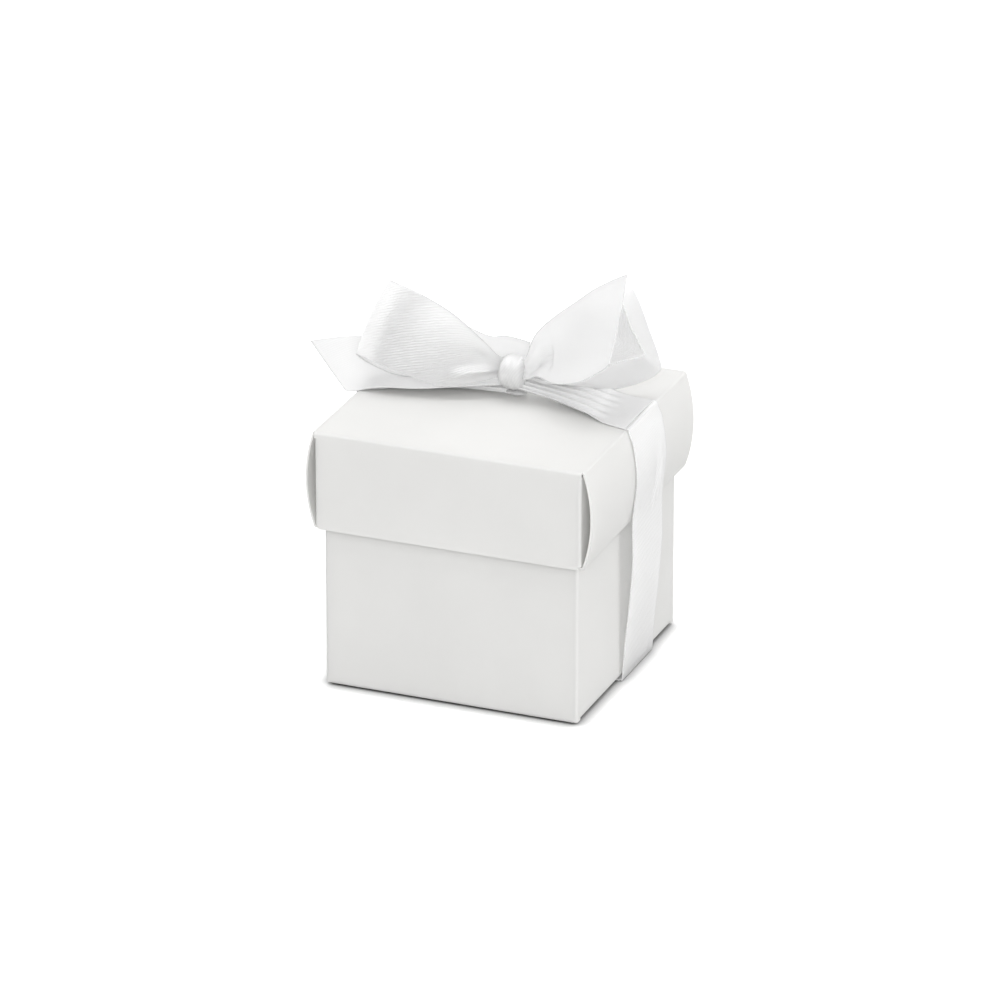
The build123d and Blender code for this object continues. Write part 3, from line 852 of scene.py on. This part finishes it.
def knot_tree(material):
    """A wound lump of ribbon: a closed roll along X, with soft folds that run round it and drift along it."""
    sizes = (
        ("Middle", "NodeSocketVector"),
        ("Half Size", "NodeSocketVector"),
        ("Folds", "NodeSocketFloat"),
        ("Depth", "NodeSocketFloat"),
    )
    group, tree = new_tree("Ribbon Knot", sizes)
    given = tree.add("NodeGroupInput")
    grid = tree.add(
        "GeometryNodeMeshGrid", None, {"Size X": 2.0, "Size Y": 2.0, "Vertices X": 90, "Vertices Y": 160}
    )
    place = tree.add("ShaderNodeSeparateXYZ", None, {"Vector": tree.add("GeometryNodeInputPosition")})
    along, turn = place, place.sibling("Y") * math.pi
    body = (1 - along.absolute().power(KNOT_ENDS)).power(KNOT_ROUNDING)
    half = tree.add("ShaderNodeSeparateXYZ", None, {"Vector": given.sibling("Half Size")})
    reach = along * given.sibling("Folds") * math.pi
    folds = (reach + turn * FOLD_TURNS + turn.sine() * FOLD_SWAY).sine()
    fine = (reach * FINE_FOLDS - turn * FINE_TURNS).sine()
    relief = (folds + fine * FINE_DEPTH) * given.sibling("Depth")
    across = (half.sibling("Y") + relief) * body
    tall = (half.sibling("Z") + relief) * body
    moved = tree.add(
        "ShaderNodeCombineXYZ",
        None,
        {"X": along * half, "Y": across * turn.math("COSINE", turn), "Z": tall * turn.sine()},
    )
    moved = tree.add("ShaderNodeVectorMath", {"operation": "ADD"}, {0: moved, 1: given.sibling("Middle")})
    wound = tree.add("ShaderNodeVectorMath", {"operation": "MULTIPLY"}, {0: grid.sibling("UV Map"), 1: KNOT_MAP})
    mapped = tree.add(
        "GeometryNodeStoreNamedAttribute",
        {"data_type": "FLOAT2", "domain": "CORNER"},
        {"Geometry": grid, "Name": "UVMap", "Value": wound},
    )
    placed = tree.add("GeometryNodeSetPosition", None, {"Geometry": mapped, "Position": moved})
    closed = tree.add("GeometryNodeMergeByDistance", None, {"Geometry": placed, "Distance": 0.01 * MM})
    smoothed = tree.add("GeometryNodeSetShadeSmooth", None, {"Geometry": closed, "Shade Smooth": True})
    close_tree(tree, smoothed, material)
    return group


class FAVORBOX_OT_knot(bpy.types.Operator):
    """Tie the knot and the half knot under it"""

    bl_idname = "favorbox.knot"
    bl_label = "Knot"

    def execute(self, context):
        shape = context.scene.favorbox_knot
        # the knot's finish is the satin's colour darkened as painted shade
        group = knot_tree(ribbon_finishes(context.scene.favorbox_ribbon)["wound"])
        for name, share, shift in KNOTS:
            low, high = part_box(f"ribbon_{name}")
            values = {
                "Middle": (low + high) / 2 + Vector((0, 0, shift * MM)),
                "Half Size": (high - low) / 2 * Vector(share),
                "Folds": shape.folds,
                "Depth": shape.depth,
            }
            piece = grown(name, bpy.data.meshes.new(f"{name} seed"), group, values)
            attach(piece, "lid")
            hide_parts(f"ribbon_{name}")
        return {"FINISHED"}


def seen_or_mirrored(tree):
    """1 for rays that show the background itself or its reflection, 0 for those that carry light."""
    path = tree.add("ShaderNodeLightPath", None, None, "Is Camera Ray")
    return path.math("MAXIMUM", path, path.sibling("Is Glossy Ray"))


MIRRORED_FRONT = 0.3  # brightness of the background in front of the box, which the satin mirrors; behind it is white
FRONT_END, BACK_START = -0.9, -0.2  # where it turns from one to the other, as the Y of a direction


def studio_world(studio):
    """A background that is white to the camera and in reflections, and an even fill light to the rest."""
    world = bpy.data.worlds.new("studio")
    world.use_nodes = True
    world.node_tree.nodes.clear()
    tree = Socket(world.node_tree)
    light = tree.add("ShaderNodeBackground", None, {"Color": WHITE, "Strength": studio.fill})
    way = tree.add("ShaderNodeTexCoord", None, None, "Object")
    way = tree.add("ShaderNodeSeparateXYZ", None, {"Vector": way})
    lit = MIRRORED_FRONT + way.sibling("Y").ramp(FRONT_END, BACK_START)
    shown = tree.add("ShaderNodeBackground", None, {"Color": WHITE, "Strength": lit})
    seen = seen_or_mirrored(tree)
    through = tree.add("ShaderNodeLightPath", None, None, "Is Transmission Ray")
    mixed = tree.add("ShaderNodeMixShader", None, {0: seen.math("MAXIMUM", seen, through), 1: light, 2: shown})
    tree.add("ShaderNodeOutputWorld", None, {"Surface": mixed})
    return world


FLOOR_HALF = 6.0  # half its side
FLOOR_SHADOW = 3 * MM  # reach of the painted contact shadow, from ambient occlusion, where the box stands
FLOOR_WHITE, FLOOR_RISE, FLOOR_SPAN = 1.18, 0.5, (0.08, 0.35)  # near the box, and what it gains over that span
FLOOR_LIT = (0.55, 0.55, 0.55)  # its colour to the rays that carry light


def studio_floor():
    """A white floor that keeps the shadow under the box, deepened by painted ambient-occlusion shade, and throws only
    a little light back.
    """
    reach = FLOOR_HALF
    mesh = bpy.data.meshes.new("floor")
    corners = [(-reach, -reach, 0), (reach, -reach, 0), (reach, reach, 0), (-reach, reach, 0)]
    mesh.from_pydata(corners, [], [(0, 1, 2, 3)])
    material, tree = new_finish("white floor")
    # painted shade: ambient occlusion darkens the floor's seen colour near the box
    painted_contact_shade = tree.add("ShaderNodeAmbientOcclusion", None, {"Distance": FLOOR_SHADOW}, "AO")
    place = tree.add("ShaderNodeTexCoord", None, None, "Object")
    away = tree.add("ShaderNodeVectorMath", {"operation": "LENGTH"}, {0: place}, "Value")
    tone = painted_contact_shade * (FLOOR_WHITE + away.ramp(*FLOOR_SPAN) * FLOOR_RISE)
    seen = tree.add("ShaderNodeCombineColor", None, {"Red": tone, "Green": tone, "Blue": tone})
    paper = seen_or_mirrored(tree).colour(FLOOR_LIT, seen)
    matte = tree.add("ShaderNodeBsdfDiffuse", None, {"Color": paper})
    tree.add("ShaderNodeOutputMaterial", None, {"Surface": matte})
    return add_piece("floor", mesh, [material])


# A light's name, which is its setting's too, its place, its size, and whether reflections show it.
LIGHTS = (
    ("key", (0.345, -0.862, 0.866), 0.6, False),
    ("front", (0.42, -1.05, 0.51), 0.4, False),
    ("right", (1.04, 0.0, 0.18), 0.7, True),
    ("left", (-0.8, -0.55, 0.6), 0.6, True),
    ("top", (-0.1, 0.1, 1.0), 0.9, True),
    ("back", (0.0, 1.07, 0.6), 1.0, True),
)
LIT_POINT = Vector((0, 0, 30)) * MM


def look_along(way):
    """The turn that points a light or a camera that way."""
    return way.to_track_quat("-Z", "Y").to_euler()


def hang_lights(scene, studio):
    """The soft square lights round the box."""
    for name, place, size, mirrored in LIGHTS:
        lamp = bpy.data.lights.new(f"{name} light", "AREA")
        lamp.shape = "SQUARE"
        lamp.size = size
        lamp.energy = getattr(studio, name)
        holder = bpy.data.objects.new(f"{name} light", lamp)
        holder.location = place
        holder.visible_glossy = mirrored
        holder.rotation_euler = look_along(LIT_POINT - Vector(place))
        scene.collection.objects.link(holder)


CAMERA_AZIMUTH, CAMERA_ELEVATION = math.radians(21.83), math.radians(23.09)
CAMERA_TARGET, CAMERA_DISTANCE = Vector((-0.27, 0.0, 30.27)) * MM, 1.4422
CAMERA_LENS, CAMERA_SENSOR = 288.0, 36.0


def place_camera(scene):
    """The camera at the angle that was fitted to the box's corners."""
    camera = bpy.data.cameras.new("camera")
    camera.lens = CAMERA_LENS
    camera.sensor_width = CAMERA_SENSOR
    holder = bpy.data.objects.new("camera", camera)
    level = math.cos(CAMERA_ELEVATION)
    back = Vector((math.sin(CAMERA_AZIMUTH) * level, -math.cos(CAMERA_AZIMUTH) * level, math.sin(CAMERA_ELEVATION)))
    holder.location = CAMERA_TARGET + back * CAMERA_DISTANCE
    holder.rotation_euler = look_along(-back)
    scene.collection.objects.link(holder)
    scene.camera = holder


class FAVORBOX_OT_stage(bpy.types.Operator):
    """Set the white floor, the soft lights and the camera"""

    bl_idname = "favorbox.stage"
    bl_label = "Studio"

    def execute(self, context):
        scene = context.scene
        studio = scene.favorbox_studio
        scene.view_settings.view_transform = "Standard"
        scene.world = studio_world(studio)
        floor = studio_floor()
        hang_lights(scene, studio)
        place_camera(scene)
        return {"FINISHED"}


class FAVORBOX_PT_panel(bpy.types.Panel):
    """The box's settings and operators in the sidebar"""

    bl_label = "Favor Box"
    bl_idname = "FAVORBOX_PT_panel"
    bl_space_type = "VIEW_3D"
    bl_region_type = "UI"
    bl_category = "Favor Box"

    def draw(self, context):
        for label, settings, operators in (
            ("Card", "favorbox_card", ("favorbox.card",)),
            ("Ribbon", "favorbox_ribbon", ("favorbox.bow", "favorbox.straps")),
            ("Knot", "favorbox_knot", ("favorbox.knot",)),
            ("Studio", "favorbox_studio", ("favorbox.stage",)),
        ):
            box = self.layout.box()
            box.label(text=label)
            group = getattr(context.scene, settings)
            for name in group.__annotations__:
                box.prop(group, name)
            for operator in operators:
                box.operator(operator)


GROUPS = {
    "favorbox_card": CardLook,
    "favorbox_ribbon": RibbonLook,
    "favorbox_knot": KnotShape,
    "favorbox_studio": StudioLook,
}
OPERATORS = (FAVORBOX_OT_card, FAVORBOX_OT_bow, FAVORBOX_OT_straps, FAVORBOX_OT_knot, FAVORBOX_OT_stage)


def register():
    for cls in (*GROUPS.values(), *OPERATORS, FAVORBOX_PT_panel):
        bpy.utils.register_class(cls)
    for name, group in GROUPS.items():
        setattr(bpy.types.Scene, name, bpy.props.PointerProperty(type=group))


def unregister():
    for name in GROUPS:
        delattr(bpy.types.Scene, name)
    for cls in (FAVORBOX_PT_panel, *reversed(OPERATORS), *reversed(GROUPS.values())):
        bpy.utils.unregister_class(cls)


def main():
    """Makes the box, its ribbon and the stage."""
    register()
    bpy.ops.favorbox.card()
    bpy.ops.favorbox.bow()
    bpy.ops.favorbox.straps()
    bpy.ops.favorbox.knot()
    bpy.ops.favorbox.stage()


if __name__ == "__main__":
    main()
